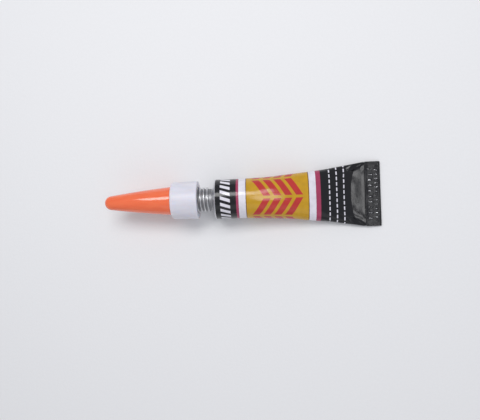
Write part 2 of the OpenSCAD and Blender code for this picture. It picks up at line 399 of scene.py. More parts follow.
@dataclass(frozen=True)
class TurnedMetal:
    """Bare soft aluminium with the fine rings that turning and threading leave, and painted shade in the
    thread's grooves.
    """

    bright: Colour = (0.80, 0.80, 0.81)
    dull: Colour = (0.56, 0.56, 0.58)
    # Colour of the painted shade in the thread's grooves
    groove_shade: Colour = (0.16, 0.16, 0.17)
    rings: Grain = Grain(14.0, 3.0)
    smears: Grain = Grain(0.9, 4.0, 0.6)
    smears_from: Span = (0.3, 0.7)
    nicks: Grain = Grain(6.0, 3.0)
    nicks_from: Span = (0.66, 0.74)
    nick_share: float = 0.4
    groove_shade_even: float = 0.55
    groove_shade_smeared: float = 0.5
    rough: float = 0.22
    haze: Shares = (0.12, 0.1, 0.1, 0.15)
    relief: Shares = (0.6, 0.3, -0.4)
    relief_mm: float = 0.03

    def material(self) -> bpy.types.Material:
        """Makes the material.

        Returns:
            The metal, with rings, smears, small nicks and painted shade in the grooves.
        """
        tree = Tree("turned_aluminium", Metallic=1.0)
        at = tree.place()
        rings = tree.ring_noise(tree.carried(Field.AXIAL), self.rings)
        smears = tree.noise(at, self.smears)
        nicks = tree.noise(at, self.nicks).past(*self.nicks_from)
        tone = tree.mix(smears.past(*self.smears_from), self.dull, self.bright)
        # Painted shade: the thread's grooves are darkened, more where smears lie
        groove_shade_share = tree.carried(Field.WEAR_AND_GROOVE_SHADE) * (self.groove_shade_even + smears * self.groove_shade_smeared)
        tone = tree.mix(groove_shade_share, tone, self.groove_shade)
        tree.feed(Base_Color=tree.mix(nicks * self.nick_share, tone, self.dull),
                  Roughness=self.rough + weighted(self.haze, rings, smears, nicks, groove_shade_share))
        tree.bump(weighted(self.relief, rings, smears, nicks), self.relief_mm)
        return tree.material


@dataclass(frozen=True)
class MouldedPlastic:
    """Moulded plastic with flow marks, a fine skin and a few rubbed spots."""

    name: str
    colour: Colour
    deep: Colour
    rough: float
    bleed: float
    bleed_mm: float = 1.2
    bleed_radius: Triple = (1.0, 0.75, 0.6)
    coat: float = 0.0
    flow: Grain = Grain(0.7, 3.0)
    flow_stretch: Triple = (0.22, 1, 1)
    flow_from: Span = (0.25, 0.8)
    skin: Grain = Grain(9.0)
    draw: Grain = Grain(5.0)
    draw_stretch: Triple = (0.12, 1, 1)
    rubs: Grain = Grain(1.3, 5.0, 0.7)
    rubs_from: Span = (0.60, 0.72)
    haze: Shares = (0.05, 0.08, 0.03)
    relief: Shares = (0.5, 0.35, 0.3)
    relief_mm: float = 0.02

    def material(self) -> bpy.types.Material:
        """Makes the material.

        Returns:
            The plastic; light spreads in it by its bleed.
        """
        tree = Tree(self.name, IOR=1.5, Subsurface_Weight=self.bleed, Subsurface_Scale=self.bleed_mm * MM,
                    Subsurface_Radius=self.bleed_radius, Coat_Weight=self.coat, Coat_Roughness=0.06)
        at = tree.place()
        flow = tree.noise(tree.place(self.flow_stretch), self.flow)
        skin = tree.noise(at, self.skin)
        draw = tree.noise(tree.place(self.draw_stretch), self.draw)
        rubs = tree.noise(at, self.rubs).past(*self.rubs_from)
        tree.feed(Base_Color=tree.mix(flow.past(*self.flow_from), self.deep, self.colour),
                  Roughness=self.rough + weighted(self.haze, flow, rubs, skin))
        tree.bump(weighted(self.relief, skin, draw, rubs), self.relief_mm)
        return tree.material


@dataclass(frozen=True)
class PressedFoil:
    """The thin seal skin with faint press marks."""

    bright: Colour = (0.78, 0.78, 0.80)
    dull: Colour = (0.60, 0.60, 0.63)
    dents: Grain = Grain(0.8, 3.0)
    brushed: Grain = Grain(8.0)
    brushed_stretch: Triple = (1, 0.1, 1)
    rough: float = 0.2
    haze: float = 0.2
    relief: Shares = (1.0, 0.1)
    relief_mm: float = 0.08

    def material(self) -> bpy.types.Material:
        """Makes the material.

        Returns:
            The foil, with soft dents and a brushed tone.
        """
        tree = Tree("pressed_foil", Metallic=1.0)
        dents = tree.noise(tree.place(), self.dents)
        brushed = tree.noise(tree.place(self.brushed_stretch), self.brushed)
        tree.feed(Base_Color=tree.mix(brushed, self.dull, self.bright),
                  Roughness=self.rough + brushed * self.haze)
        tree.bump(weighted(self.relief, dents, brushed), self.relief_mm)
        return tree.material


@dataclass(frozen=True)
class DriedLatex:
    """The sealing film in the fold: amber, slightly blotched, matt."""

    thin: Colour = (0.78, 0.66, 0.38)
    thick: Colour = (0.52, 0.38, 0.15)
    blotch: Grain = Grain(0.6, 4.0)
    blotch_from: Span = (0.3, 0.7)
    blisters: Grain = Grain(4.0)
    blisters_from: Span = (0.55, 0.7)
    rough: float = 0.5
    haze: Shares = (0.2, -0.1)
    relief: Shares = (0.4, 1.0)
    relief_mm: float = 0.04

    def material(self) -> bpy.types.Material:
        """Makes the material.

        Returns:
            The film, with blotches and tiny blisters.
        """
        tree = Tree("dried_latex", IOR=1.5)
        at = tree.place()
        blotch = tree.noise(at, self.blotch)
        blisters = tree.noise(at, self.blisters).past(*self.blisters_from)
        tree.feed(Base_Color=tree.mix(blotch.past(*self.blotch_from), self.thin, self.thick),
                  Roughness=self.rough + weighted(self.haze, blotch, blisters))
        tree.bump(weighted(self.relief, blotch, blisters), self.relief_mm)
        return tree.material


@dataclass(frozen=True)
class ThinLiquid:
    """The clear liquid, faintly straw coloured."""

    clear: Colour = (0.95, 0.94, 0.88)
    straw: Colour = (0.92, 0.88, 0.72)
    streaks: Grain = Grain(0.35, 3.0)
    streak_stretch: Triple = (0.3, 1, 1)
    streaks_from: Span = (0.3, 0.75)
    rough: float = 0.03
    haze: float = 0.04
    relief_mm: float = 0.02

    def material(self) -> bpy.types.Material:
        """Makes the material.

        Returns:
            The liquid, with slow streaks where it has thickened.
        """
        tree = Tree("thin_liquid", IOR=1.45, Transmission_Weight=0.85)
        streaks = tree.noise(tree.place(self.streak_stretch), self.streaks)
        tree.feed(Base_Color=tree.mix(streaks.past(*self.streaks_from), self.clear, self.straw),
                  Roughness=self.rough + streaks * self.haze)
        tree.bump(streaks, self.relief_mm)
        return tree.material


@dataclass(frozen=True)
class StudioPaper:
    """The plain pale floor."""

    light: Colour = (0.80, 0.80, 0.81)
    shade: Colour = (0.77, 0.77, 0.78)
    tooth: Grain = Grain(1.2, 4.0)
    relief_mm: float = 0.03

    def material(self) -> bpy.types.Material:
        """Makes the material.

        Returns:
            The paper, with a faint tooth.
        """
        tree = Tree("studio_paper", Roughness=0.85, Specular_IOR_Level=0.2)
        tooth = tree.noise(tree.place(), self.tooth)
        tree.feed(Base_Color=tree.mix(tooth, self.light, self.shade))
        tree.bump(tooth, self.relief_mm)
        return tree.material


# Shapes


def smooth(t: np.ndarray) -> np.ndarray:
    """Smooth step of values from 0 to 1."""
    t = np.clip(t, 0, 1)
    return t * t * (3 - 2 * t)


def ramp(value: np.ndarray, start: float, run: float) -> np.ndarray:
    """Smooth step that leaves 0 at a start and reaches 1 after a run."""
    return smooth((value - start) / run)


def bell(off: np.ndarray, width: float) -> np.ndarray:
    """Bell that is 1 at 0 and falls off by its width."""
    return np.exp(-(off / width) ** 2)


@dataclass(frozen=True)
class TubeAxes:
    """The tube's own axes in the row frame."""

    origin: np.ndarray
    along: np.ndarray
    down: np.ndarray

    @classmethod
    def from_joint(cls, name: str) -> "TubeAxes":
        """Reads the axes from the screw joint.

        Args:
            name: The joint whose axis runs along the tube, through the shoulder rim's centre.

        Returns:
            The axes.
        """
        joint = next(j for j in frame["joints"] if j["name"] == name)
        along = np.array(joint["axis"], float)
        return cls(np.array(joint["pos_m"], float), along, np.cross(ACROSS, along))

    def place(self, points: np.ndarray) -> np.ndarray:
        """Row-frame metres of points given as x, y, u in millimetres."""
        x, y, u = np.moveaxis(points, -1, 0)[..., None] * MM
        return self.origin + x * self.down + y * ACROSS + u * self.along


@dataclass
class Net:
    """A net of points that is skinned with quads, closed round its columns.

    Args:
        points: rows x columns x 3 in the tube's axes.
        ring_rows: The last row joins the first; otherwise both end rows are capped.
        print_at: Label places, rows x (columns + 1) x 2.
        values: Values that the mesh carries, rows x columns each.
    """

    points: np.ndarray
    ring_rows: bool = False
    print_at: Optional[np.ndarray] = None
    values: Optional[Dict[Field, np.ndarray]] = None

    def build(self, name: str, axes: TubeAxes, sharp_deg: float = 50.0) -> bpy.types.Object:
        """Makes the object.

        Args:
            name: The piece's name.
            axes: The tube's axes.
            sharp_deg: Edges sharper than this stay hard.

        Returns:
            The linked object, closed and facing outward.
        """
        rows, columns = self.points.shape[:2]
        r = np.arange(rows if self.ring_rows else rows - 1)
        r, c = (g.ravel() for g in np.meshgrid(r, np.arange(columns), indexing="ij"))
        faces = np.stack([(r + a) % rows * columns + (c + b) % columns for a, b in QUAD], 1).tolist()
        if not self.ring_rows:
            faces += [list(range(columns)), list(range((rows - 1) * columns, rows * columns))]
        mesh = bpy.data.meshes.new(name)
        mesh.from_pydata(axes.place(self.points).reshape(-1, 3).tolist(), [], faces)
        for field, value in (self.values or {}).items():
            carried = np.broadcast_to(value, (rows, columns)).astype(np.float32)
            mesh.attributes.new(field.value, "FLOAT", "POINT").data.foreach_set("value", carried.ravel())
        if self.print_at is not None:
            corners = np.stack([self.print_at[(r + a) % rows, c + b] for a, b in QUAD], 1).reshape(-1, 2)
            place = np.zeros((len(mesh.loops), 2), np.float32)
            place[:len(corners)] = corners
            mesh.uv_layers.new(name=Field.PRINT.value).data.foreach_set("uv", place.ravel())
        self._clean(mesh)
        mesh.shade_smooth()
        mesh.set_sharp_from_angle(angle=math.radians(sharp_deg))
        piece = bpy.data.objects.new(name, mesh)
        bpy.context.scene.collection.objects.link(piece)
        return piece

    @staticmethod
    def _clean(mesh: bpy.types.Mesh) -> None:
        """Welds points that meet, drops slivers and turns every face outward."""
        shape = bmesh.new()
        shape.from_mesh(mesh)
        bmesh.ops.remove_doubles(shape, verts=shape.verts, dist=WELD_M)
        bmesh.ops.dissolve_degenerate(shape, edges=shape.edges, dist=SLIVER_M)
        bmesh.ops.recalc_face_normals(shape, faces=shape.faces)
        shape.to_mesh(mesh)
        shape.free()


@dataclass
class Outline:
    """A lathe outline.

    Args:
        corners: Radius, height and rounding of each corner.
        closed: The last corner joins the first.
        arc_steps: Stretches in each rounded corner.
        reach_share: Most of a side that one rounding may take.
        least_reach: A shorter rounding is left out.
    """

    corners: List[Triple]
    closed: bool = True
    arc_steps: int = 5
    reach_share: float = 0.48
    least_reach: float = 1e-6

    def points(self, step: float) -> np.ndarray:
        """Runs round the corners.

        Args:
            step: Longest stretch between two points.

        Returns:
            Points of the outline as radius and height.
        """
        spots = np.array([corner[:2] for corner in self.corners], float)
        ends = () if self.closed else (0, len(spots) - 1)
        run: List[np.ndarray] = []
        for k, (_, _, radius) in enumerate(self.corners):
            if k in ends or not radius:
                run.append(spots[k])
            else:
                run += self._arc(spots[k - 1], spots[k], spots[(k + 1) % len(spots)], radius)
        return self._even(np.array(run), step)

    def _arc(self, before: np.ndarray, here: np.ndarray, after: np.ndarray, radius: float) -> List[np.ndarray]:
        """Rounds one corner.

        Args:
            before: The corner before it.
            here: The corner.
            after: The corner after it.
            radius: Its rounding.

        Returns:
            Points of the arc.
        """
        back, ahead = before - here, after - here
        long_back, long_ahead = np.linalg.norm(back), np.linalg.norm(ahead)
        back, ahead = back / long_back, ahead / long_ahead
        bend = math.acos(float(np.clip(back @ ahead, -1, 1)))
        reach = min(radius / math.tan(bend / 2), self.reach_share * min(long_back, long_ahead))
        if reach < self.least_reach:
            return [here]
        middle = here + (back + ahead) * reach / (1 + math.cos(bend))
        first, last = here + back * reach - middle, here + ahead * reach - middle
        sweep = math.pi - bend
        return [middle + (first * math.sin(sweep - t) + last * math.sin(t)) / math.sin(sweep)
                for t in np.linspace(0, sweep, self.arc_steps + 1)]

    def _even(self, run: np.ndarray, step: float) -> np.ndarray:
        """Adds points so that no stretch is longer than step."""
        ends = np.vstack([run[1:], run[:1]]) if self.closed else run[1:]
        made = []
        for a, b in zip(run, ends):
            pieces = max(1, math.ceil(np.linalg.norm(b - a) / step))
            made += [a + (b - a) * i / pieces for i in range(pieces)]
        return np.array(made if self.closed else made + [run[-1]])


@dataclass(frozen=True)
class Thread:
    """A right-handed ridge along the tube's axis."""

    pitch: float = 1.25
    depth: float = 0.6
    crest: float = 0.2
    base: float = 0.893
    start_u: float = -8.154
    turns: float = 5.046
    fade_turns: float = 0.25

    def height(self, angle: np.ndarray, u: np.ndarray) -> np.ndarray:
        """Height of the ridge above its root.

        Args:
            angle: Angle round the axis, from the underside towards +y.
            u: Place along the axis.

        Returns:
            Heights in millimetres.
        """
        lap = (u - self.start_u) / self.pitch - angle / TURN
        turn = np.round(lap)
        off = np.abs(lap - turn) * self.pitch
        flank = (self.base / 2 - off) / (self.base / 2 - self.crest / 2)
        so_far = turn + angle / TURN
        fade = smooth(so_far / self.fade_turns) * smooth((self.turns - so_far) / self.fade_turns)
        return self.depth * smooth(flank) * fade


def turned(outline: np.ndarray, sides: int) -> Tuple[np.ndarray, np.ndarray, np.ndarray]:
    """Turns an outline about the axis.

    Args:
        outline: Radius and height of each point.
        sides: Columns round the axis.

    Returns:
        Radius, angle and height, rows x sides each.
    """
    angle = np.arange(sides) * TURN / sides
    radius, u = (np.repeat(outline[:, k:k + 1], sides, 1) for k in (0, 1))
    return radius, np.broadcast_to(angle, radius.shape), u


def round_points(radius: np.ndarray, angle: np.ndarray, u: np.ndarray) -> np.ndarray:
    """Points x, y, u of radius, angle and height."""
    return np.stack([radius * np.cos(angle), radius * np.sin(angle), u], -1)


def dress(piece: bpy.types.Object, body: Body, slot: Slot, material: bpy.types.Material, *nodes: str) -> None:
    """Gives a piece its finish and its place in the frame.

    Args:
        piece: The piece.
        body: The body that it rides on.
        slot: The record's material slot; not used.
        material: Its finish.
        nodes: The solids that it stands for.
    """
    piece.data.materials.append(material)
    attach(piece, body.value)
    if nodes:
        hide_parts(*nodes)
    log.info("%s: %d faces on %s", piece.name, len(piece.data.polygons), body.value)


# Marks of making and handling


@dataclass(frozen=True)
class HandDents:
    """The slight hollows that handling leaves in soft metal, clear of the rim and the fold."""

    depth: float = 0.11
    rim_clear: float = 5.0
    rim_run: float = 8.0
    fold_clear: float = 6.0
    fold_run: float = 10.0
    waves: Tuple[Triple, ...] = (
        (0.23, 2, 0.4), (0.41, 3, 1.9), (0.17, 1, 4.1), (0.62, 4, 2.6), (0.33, 5, 0.9))

    def hollow(self, u: np.ndarray, angle: np.ndarray, fold_u: float) -> np.ndarray:
        """Depth of the hollows.

        Args:
            u: Place along the axis.
            angle: Angle from the middle of the upper side.
            fold_u: Where the fold starts.

        Returns:
            Depths below the true wall.
        """
        sway = sum(np.sin(k * u + m * angle + p) for k, m, p in self.waves) / len(self.waves)
        fade = ramp(u, self.rim_clear, self.rim_run) * ramp(fold_u - u, self.fold_clear, self.fold_run)
        return self.depth * smooth(0.5 + sway) * fade


@dataclass(frozen=True)
class CornerCrease:
    """The creases that run back from the tail's corners, each with a hollow beside it."""

    start_u: float = 40.5
    start_share: float = 0.5
    share_run: float = 0.46
    share_power: float = 0.85
    ridge_h: float = 0.22
    ridge_w: float = 0.42
    hollow_h: float = 0.11
    hollow_w: float = 0.9
    hollow_off: float = 1.25
    fade_in: float = 0.45
    fade_out: float = 0.12

    def height(self, u: np.ndarray, share: np.ndarray, fold_u: float, half_w: float) -> np.ndarray:
        """Height of the creases.

        Args:
            u: Place along the axis.
            share: Share of the half width, from -1 to 1.
            fold_u: Where the fold starts.
            half_w: Half width of the flattened tube.

        Returns:
            Height above the wall, below 0 in the hollow.
        """
        way = np.clip((u - self.start_u) / (fold_u - self.start_u), 0, 1)
        off = (np.abs(share) - self.start_share - self.share_run * way ** self.share_power) * half_w
        ridge = self.ridge_h * bell(off, self.ridge_w)
        hollow = self.hollow_h * bell(off + self.hollow_off, self.hollow_w)
        return (ridge - hollow) * smooth(way / self.fade_in) * smooth((1 - way) / self.fade_out)


@dataclass(frozen=True)
class FacetRipples:
    """The shallow ripples that pressing leaves in the flat facet before the fold."""

    coarse_h: float = 0.035
    coarse_waves: float = 7.3
    coarse_shift: float = 0.9
    fine_h: float = 0.03
    fine_waves: float = 13.1
    fine_shift: float = -0.4
    fine_skew: float = 0.5
    lead: float = 0.5
    fade_in: float = 2.5
    fade_out: float = 1.2

    def height(self, u: np.ndarray, share: np.ndarray, fold_u: float, facet_len: float) -> np.ndarray:
        """Height of the ripples.

        Args:
            u: Place along the axis.
            share: Share of the half width, from -1 to 1.
            fold_u: Where the fold starts.
            facet_len: Length of the flat facet.

        Returns:
            Height above the wall.
        """
        coarse = self.coarse_h * np.sin(self.coarse_waves * share + self.coarse_shift)
        skew = self.fine_skew * (u - fold_u)
        fine = self.fine_h * np.sin(self.fine_waves * share + self.fine_shift + skew)
        fade_in = ramp(u, fold_u - facet_len - self.lead, self.fade_in)
        return (coarse + fine) * fade_in * smooth((fold_u - u) / self.fade_out)


@dataclass(frozen=True)
class TickStamp:
    """Two rows of short stamped ticks on the hem, placed from where the fold starts."""

    height: float = 0.1
    rows: Span = (1.75, 3.75)
    half_len: Span = (0.72, 0.6)
    pitch: Span = (1.9, 1.5)
    half_w: float = 0.27
    edge: float = 0.12
    side_margin: float = 1.6

    def share(self, past_fold: np.ndarray, y: np.ndarray, half_w: float) -> np.ndarray:
        """Share of the stamp's height.

        Args:
            past_fold: Place along the axis from where the fold starts.
            y: Place across the hem.
            half_w: Half width of the hem.

        Returns:
            1 on the ticks and 0 beside them.
        """
        ends = [(half - np.abs(past_fold - row)) / self.edge for row, half in zip(self.rows, self.half_len)]
        pitch = np.where(past_fold < sum(self.rows) / 2, *self.pitch)
        off = np.abs((y / pitch) % 1 - 0.5) * pitch
        inside = np.abs(y) < half_w - self.side_margin
        return smooth(np.maximum(*ends)) * smooth((self.half_w - off) / self.edge) * inside


@dataclass(frozen=True)
class WallWear:
    """Rubbing of the printed wall at its rim, along the fold and on the tail's side edges."""

    rim: float = 1.6
    rim_end: float = 0.42
    rim_run: float = 0.2
    fold: float = 0.42
    fold_w: float = 0.35
    side: float = 0.45
    side_u: Span = (44.0, 8.0)
    side_share: Span = (0.965, 0.03)

    def share(self, u: np.ndarray, share: np.ndarray, fold_u: float) -> np.ndarray:
        """Share of rubbing.

        Args:
            u: Place along the axis.
            share: Share of the half width, from -1 to 1.
            fold_u: Where the fold starts.

        Returns:
            How far the print is rubbed; 1 and more is bare.
        """
        rim = self.rim * smooth((self.rim_end - u) / self.rim_run)
        fold = self.fold * bell(u - fold_u, self.fold_w)
        return rim + fold + self.side * ramp(u, *self.side_u) * ramp(np.abs(share), *self.side_share)


# Pieces


@dataclass
class SoftWall:
    """The soft printed wall, round at the shoulder and pressed flat at the tail."""

    axes: TubeAxes
    radius: float = 7.0
    wall: float = 0.15
    film_t: float = 0.12
    press_spread: float = 0.6
    rim_round: float = 0.4
    rim_steps: int = 9
    round_len: float = 4.0
    length: float = 58.0
    fold_len: float = 5.4
    tuck: float = 0.15
    facet_len: float = 5.0
    flare_power: float = 1.9
    upper_power: float = 2.4
    square_from: float = 0.86
    square_power: float = 7.0
    sides: int = 256
    coarse_u: Span = (0.8, 40.0)
    coarse_rows: int = 132
    fine_u: float = 40.2
    fine_rows: int = 76
    under_crease: float = 0.6
    side_fade: float = 0.25
    dents: HandDents = HandDents()
    crease: CornerCrease = CornerCrease()
    ripples: FacetRipples = FacetRipples()
    wear: WallWear = WallWear()

    @property
    def fold_u(self) -> float:
        """Where the folded band starts."""
        return self.length - self.fold_len

    @property
    def flat_half(self) -> float:
        """Half width of the flattened tube."""
        return (math.pi * self.radius + self.press_spread) / 2

    @property
    def flat_t(self) -> float:
        """Half thickness of the flattened tube."""
        return self.film_t / 2 + self.wall

    def _section(self, u: np.ndarray, angle: np.ndarray) -> Tuple[np.ndarray, np.ndarray]:
        """Cross-section of the soft wall.

        Args:
            u: Place along the axis.
            angle: Angle from the middle of the upper side.

        Returns:
            x and y of the points.
        """
        wedge = self.fold_u - self.round_len
        share = np.clip((u - self.round_len) / wedge, 0, 1)
        facet = self.facet_len * np.cos(angle) ** 2
        top_share = np.clip((u - self.round_len) / (wedge - facet), 0, 1)
        half_w = self.radius + (self.flat_half - self.radius) * share ** self.flare_power
        under = self.radius + (self.flat_t - self.radius) * share
        upper = self.radius + (self.flat_t - self.radius) * top_share ** self.upper_power
        # Towards the fold the side edges square up, as two pressed walls do
        power = 2 / (2 + self.square_power * ramp(share, self.square_from, 1 - self.square_from))
        across = np.sign(np.sin(angle)) * np.abs(np.sin(angle)) ** power
        rise = np.sign(np.cos(angle)) * np.abs(np.cos(angle)) ** power
        return -np.where(rise > 0, upper, under) * rise, half_w * across

    def build(self, lacquer: bpy.types.Material) -> None:
        """Builds the printed wall from the shoulder rim to the fold."""
        turn = np.linspace(-math.pi / 2, 0, self.rim_steps)
        stations = np.concatenate([
            self.rim_round + self.rim_round * np.sin(turn),
            np.linspace(*self.coarse_u, self.coarse_rows),
            np.linspace(self.fine_u, self.fold_u + self.tuck, self.fine_rows)])
        draw_in = np.ones((len(stations), 1))
        draw_in[:len(turn), 0] = 1 - self.rim_round * (1 - np.cos(turn)) / self.radius
        angle = np.linspace(-math.pi, math.pi, self.sides + 1)
        u, theta = np.meshgrid(stations, angle, indexing="ij")
        x, y = self._section(u, theta)
        share = y / np.abs(y).max(1, keepdims=True)
        relief = self.crease.height(u, share, self.fold_u, self.flat_half)
        relief = relief * np.where(x < 0, -1, self.under_crease)
        relief -= self.ripples.height(u, share, self.fold_u, self.facet_len) * (x < 0)
        size = draw_in * (1 - self.dents.hollow(u, theta, self.fold_u) / self.radius)
        x = x * size + relief * smooth(np.abs(np.cos(theta)) / self.side_fade)
        points = np.stack([x, y * size, u], -1)
        wear = self.wear.share(u, share, self.fold_u)
        net = Net(points[:, :-1], print_at=np.stack([self._arc_from_top(points), u], -1),
                  values={Field.WEAR_AND_GROOVE_SHADE: wear[:, :-1]})
        dress(net.build("printed_wall", self.axes), Body.TUBE, Slot.LACQUER, lacquer, "tube_body")

    @staticmethod
    def _arc_from_top(points: np.ndarray) -> np.ndarray:
        """Signed length round each section from the middle of the upper side."""
        step = np.linalg.norm(np.diff(points, axis=1), axis=2)
        run = np.concatenate([np.zeros((len(points), 1)), np.cumsum(step, 1)], 1)
        return run - run[:, run.shape[1] // 2][:, None]


@dataclass
class TailFold:
    """The tail's hem: the flat wall turned over once and pressed, with stamped ticks."""

    wall: SoftWall
    thickness: float = 0.9
    step: float = 0.03
    root: float = 0.25
    lip: float = 0.16
    low_steps: int = 16
    bend_steps: int = 11
    high_steps: int = 58
    lip_steps: int = 9
    side_steps: int = 6
    columns: int = 188
    least_plump: float = 0.12
    stamp_from: float = 0.9
    free_len: float = 1.5
    sways: Tuple[Triple, ...] = ((0.05, 0.55, 0.7), (0.03, 1.3, 0.0))
    lift: float = 0.05
    lift_sway: Span = (0.5, 0.8)
    sharp_deg: float = 60.0
    side_wear: Triple = (0.5, -0.35, 0.3)
    end_wear: Triple = (0.42, 0.1, 0.3)
    lip_wear: Span = (0.4, 0.18)
    tick_wear: float = 0.64
    stamp: TickStamp = TickStamp()

    @property
    def half_t(self) -> float:
        """Half thickness of one layer."""
        return self.wall.flat_t

    @property
    def turn_r(self) -> float:
        """Radius of the turn, from its centre to the middle of a layer."""
        return (self.thickness - 2 * self.half_t) / 2

    @property
    def mid_x(self) -> float:
        """Height of the gap between the layers."""
        return self.step - self.turn_r

    @property
    def high_x(self) -> float:
        """Middle of the upper layer."""
        return self.mid_x - self.turn_r

    @property
    def end_u(self) -> float:
        """Where the turn starts."""
        return self.wall.length - self.thickness / 2

    @property
    def lip_u(self) -> float:
        """Where the free lip starts to round off."""
        return self.wall.fold_u + self.lip

    def _path(self) -> np.ndarray:
        """Middle line of the layers as x and u, from the root round the turn to the free lip."""
        low = [(self.step, u) for u in np.linspace(self.wall.fold_u - self.root, self.end_u, self.low_steps)]
        bend = [(self.mid_x + self.turn_r * math.cos(a), self.end_u + self.turn_r * math.sin(a))
                for a in np.linspace(0, math.pi, self.bend_steps)[1:-1]]
        high = [(self.high_x, u) for u in np.linspace(self.end_u, self.lip_u, self.high_steps)]
        return np.array(low + bend + high)

    def _across(self) -> np.ndarray:
        """Places across the hem, closer together at its round sides."""
        half, inner = self.wall.flat_half, self.wall.flat_half - self.half_t
        side = half - self.half_t * (1 - np.cos(np.linspace(0, math.pi / 2, self.side_steps)))[:-1]
        return np.concatenate([-side, np.linspace(-inner, inner, self.columns), side[::-1]])

    def _ring(self, path: np.ndarray, y: float, plump: float) -> np.ndarray:
        """One section along the axis, round both layers and the lip.

        Args:
            path: Middle line of the layers.
            y: Place across the hem.
            plump: Share of the full thickness there.

        Returns:
            Points of the section as x, y, u.
        """
        along = np.gradient(path, axis=0)
        along /= np.linalg.norm(along, axis=1, keepdims=True)
        out = np.stack([along[:, 1], -along[:, 0]], 1)
        ticks = self.stamp.share(path[:, 1] - self.wall.fold_u, y, self.wall.flat_half)
        ticks = self.stamp.height * ticks * (path[:, 0] < self.mid_x - self.stamp_from * self.turn_r)
        outer = path + out * (self.half_t * plump + ticks)[:, None]
        inner = path - out * self.half_t * plump
        angle = np.linspace(math.pi, 0, self.lip_steps)[1:-1]
        tip = np.column_stack([self.high_x + self.half_t * plump * np.cos(angle),
                               self.lip_u - self.lip * np.sin(angle)])
        ring = np.vstack([outer, tip, inner[::-1]])
        # The free layer's lip sways and stands off a little
        upper = path[:, 0] < self.mid_x
        free = np.concatenate([upper, np.ones(len(tip), bool), upper[::-1]])
        near = np.clip(1 - (ring[:, 1] - self.wall.fold_u) / self.free_len, 0, 1) * free
        ring[:, 1] += near * sum(h * math.sin(k * y + p) for h, k, p in self.sways)
        share, waves = self.lift_sway
        ring[:, 0] -= self.lift * near ** 2 * (1 + share * math.sin(waves * y))
        return np.column_stack([ring[:, 0], np.full(len(ring), y), ring[:, 1]])

    def _wear(self, points: np.ndarray) -> np.ndarray:
        """Share of rubbing on the hem's edges and stamped ticks."""
        x, y, u = np.moveaxis(points, -1, 0)
        wall = self.wall
        side, side_start, side_run = self.side_wear
        end, end_start, end_run = self.end_wear
        lip, lip_w = self.lip_wear
        sides = side * ramp(np.abs(y), wall.flat_half + side_start, side_run)
        ends = end * ramp(u, self.end_u + end_start, end_run)
        lips = lip * bell(u - wall.fold_u, lip_w) * (x < self.mid_x)
        ticks = self.stamp.share(u - wall.fold_u, y, wall.flat_half) * (x < self.mid_x - self.half_t)
        return sides + ends + lips + self.tick_wear * ticks

    def build(self, lacquer: bpy.types.Material) -> None:
        """Builds the hem from side to side."""
        ys = self._across()
        # Each layer's side is a folded wall, so it is rounded across its thickness
        into = np.clip((self.wall.flat_half - np.abs(ys)) / self.half_t, 0, 1)
        plump = np.maximum(np.sqrt(1 - (1 - into) ** 2), self.least_plump)
        path = self._path()
        points = np.array([self._ring(path, y, full) for y, full in zip(ys, plump)])
        arc = np.repeat(ys[:, None], points.shape[1] + 1, 1)
        place_u = np.concatenate([points[..., 2], points[:, :1, 2]], 1)
        net = Net(points, print_at=np.stack([arc, place_u], -1), values={Field.WEAR_AND_GROOVE_SHADE: self._wear(points)})
        piece = net.build("tail_fold", self.wall.axes, self.sharp_deg)
        dress(piece, Body.TUBE, Slot.LACQUER, lacquer, "tube_body")


@dataclass
class ThreadedNeck:
    """The bare shoulder and the threaded neck, open at its mouth."""

    axes: TubeAxes
    rim_r: float = 6.82
    rim_u: Span = (0.07, 0.3)
    inner_rim_in: float = 0.3
    inner_rise: float = 0.6
    core_r: float = 3.8
    bore_r: float = 3.0
    shoulder_u: float = -1.0
    mouth_u: float = -9.0
    step: float = 0.07
    sides: int = 192
    groove_share: float = 0.8
    ring_clear: float = 0.5
    ring_h: float = 0.03
    ring_waves: float = 9.0
    axial_lean: float = 0.7
    thread: Thread = Thread()

    def build(self, metal: bpy.types.Material) -> None:
        """Builds the neck as one turned shell with its ridge and the shoulder's turning rings."""
        front, back = self.rim_u
        outline = Outline([
            (self.rim_r, front, 0.05), (self.core_r, self.shoulder_u, 0.3), (self.core_r, self.mouth_u, 0.12),
            (self.bore_r, self.mouth_u, 0.1), (self.bore_r, self.shoulder_u + self.inner_rise, 0.3),
            (self.rim_r - self.inner_rim_in, self.inner_rise, 0.1), (self.rim_r, back, 0.05)]).points(self.step)
        radius, angle, u = turned(outline, self.sides)
        outside = (np.abs(radius - self.core_r) < ON_FACE) & (u < self.shoulder_u + ON_FACE / 2)
        ridge = self.thread.height(angle, u) * outside
        radius = radius + ridge
        # Painted shade: a share that darkens the metal in the grooves between the ridge's turns
        groove = outside * smooth(1 - ridge / (self.groove_share * self.thread.depth))
        shoulder = (radius > self.core_r + self.ring_clear) & (u < front)
        rings = self.ring_h * np.sin((radius - self.core_r) * self.ring_waves) * shoulder
        net = Net(round_points(radius, angle, u + rings), ring_rows=True,
                  values={Field.AXIAL: u + radius * self.axial_lean, Field.WEAR_AND_GROOVE_SHADE: groove})
        dress(net.build("threaded_neck", self.axes), Body.TUBE, Slot.METAL, metal, "tube_body")


